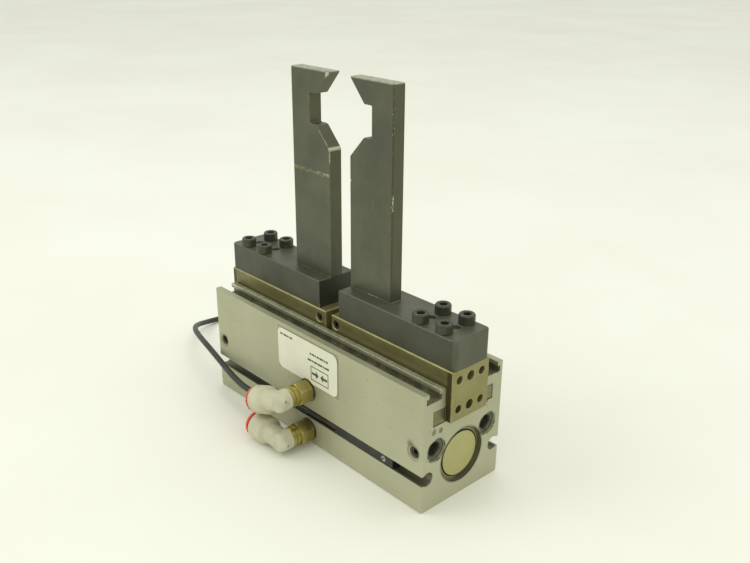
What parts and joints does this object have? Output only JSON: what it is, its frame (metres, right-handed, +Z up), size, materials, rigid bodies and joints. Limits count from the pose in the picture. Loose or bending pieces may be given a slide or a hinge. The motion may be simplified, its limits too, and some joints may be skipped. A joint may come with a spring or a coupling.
{
  "type": "pneumatic gripper",
  "caption": "Long-stroke parallel pneumatic gripper: two racked jaws slide on an extruded cylinder body and carry tall notched fingers; swivel air elbows and a slot sensor with lead.",
  "frame": {"origin": "centre of the body's bottom face", "axes": "+X along the jaw travel, towards the jaw that the piston drives; -Y out of the face with the air ports; +Z up, from the base towards the fingers"},
  "size_m": [0.2652, 0.1118, 0.203],
  "materials": {
    "anodised_body": "satin clear-anodised extrusion",
    "chromated_cap": "yellow chromated, turned",
    "black_steel": "black oxide steel",
    "finger_steel": "black oxide steel, worn edges",
    "jaw_steel": "olive-bronze hard coat",
    "bright_steel": "ground steel",
    "insert_steel": "dull zinc plated steel",
    "brass": "turned brass",
    "elbow_plastic": "off-white moulded plastic",
    "release_plastic": "orange-red moulded plastic",
    "label_face": "printed white label",
    "seal_rubber": "black nitrile",
    "magnet": "bonded ferrite",
    "sensor_plastic": "black glass-filled plastic",
    "cable_jacket": "dark grey cable jacket",
    "plug_plastic": "black overmoulded plug",
    "nickel": "nickel plated brass",
    "piston_aluminium": "turned",
    "bush_bronze": "sintered bronze",
    "sealing_washer": "dark brown fibre",
    "wear_ring": "filled PTFE"
  },
  "bodies": {
    "housing": {"body": "anodised_body", "end_caps": "chromated_cap", "end_cap_seals": "seal_rubber", "retaining_rings": "bright_steel", "piston_bumpers": "seal_rubber", "end_inserts": "insert_steel", "passage_plugs": "insert_steel", "side_set_screw": "black_steel", "label_plate": "label_face", "port_washers": "sealing_washer", "pinion_axle": "bright_steel", "pinion_clip": "black_steel", "thrust_washer": "bush_bronze", "upper_port_stem": "brass", "upper_stem_seal": "seal_rubber", "lower_port_stem": "brass", "lower_stem_seal": "seal_rubber", "position_sensor": "sensor_plastic", "sensor_clamp_screw": "nickel", "sensor_cable": "cable_jacket", "plug_body": "plug_plastic", "plug_nut": "nickel", "plug_pins": "brass"},
    "right_jaw_slide_body": {"right_jaw": "jaw_steel", "right_jaw_set_screws": "black_steel", "right_rack": "bright_steel", "right_rack_screws": "black_steel", "right_finger": "finger_steel", "right_finger_screws": "black_steel", "right_finger_dowels": "bright_steel", "piston": "piston_aluminium", "piston_seals": "seal_rubber", "piston_wear_rings": "wear_ring", "piston_magnet": "magnet", "drive_pin": "bright_steel"},
    "left_jaw_slide_body": {"left_jaw": "jaw_steel", "left_jaw_set_screws": "black_steel", "left_rack": "bright_steel", "left_rack_screws": "black_steel", "left_finger": "finger_steel", "left_finger_screws": "black_steel", "left_finger_dowels": "bright_steel"},
    "pinion_body": {"pinion": "bright_steel", "pinion_bush": "bush_bronze"},
    "upper_elbow_body": {"upper_elbow": "elbow_plastic", "upper_tube_seal": "seal_rubber", "upper_grip_ring": "nickel"},
    "upper_release_body": {"upper_release_ring": "release_plastic"},
    "lower_elbow_body": {"lower_elbow": "elbow_plastic", "lower_tube_seal": "seal_rubber", "lower_grip_ring": "nickel"},
    "lower_release_body": {"lower_release_ring": "release_plastic"}
  },
  "joints": [
    {"name": "right_jaw_slide", "type": "slide", "parent": "housing", "child": "right_jaw_slide_body", "axis": [1, 0, 0], "range_m": [0, 0.04]},
    {"name": "left_jaw_slide", "type": "slide", "parent": "housing", "child": "left_jaw_slide_body", "axis": [-1, 0, 0], "range_m": [0, 0.04]},
    {"name": "pinion_spin", "type": "hinge", "parent": "housing", "child": "pinion_body", "pos_m": [0, 0, 0.0445], "axis": [0, 0, -1], "range_deg": [0, 382]},
    {"name": "upper_elbow_swivel", "type": "hinge", "parent": "housing", "child": "upper_elbow_body", "pos_m": [0, -0.0471, 0.0333], "axis": [0, 1, 0], "range_deg": [0, 221]},
    {"name": "lower_elbow_swivel", "type": "hinge", "parent": "housing", "child": "lower_elbow_body", "pos_m": [0, -0.0471, 0.0083], "axis": [0, 1, 0], "range_deg": [-182, 0]},
    {"name": "upper_release_push", "type": "slide", "parent": "upper_elbow_body", "child": "upper_release_body", "axis": [0.9367, 0, 0.3502], "range_m": [0, 0.001], "stiffness_N_per_m": 1500},
    {"name": "lower_release_push", "type": "slide", "parent": "lower_elbow_body", "child": "lower_release_body", "axis": [0.9998, 0, -0.0175], "range_m": [0, 0.001], "stiffness_N_per_m": 1500}
  ],
  "couplings": [
    {"joint": "left_jaw_slide", "follows": "right_jaw_slide", "ratio": 1},
    {"joint": "pinion_spin", "follows": "right_jaw_slide", "rad_per_m": 166.67}
  ]
}
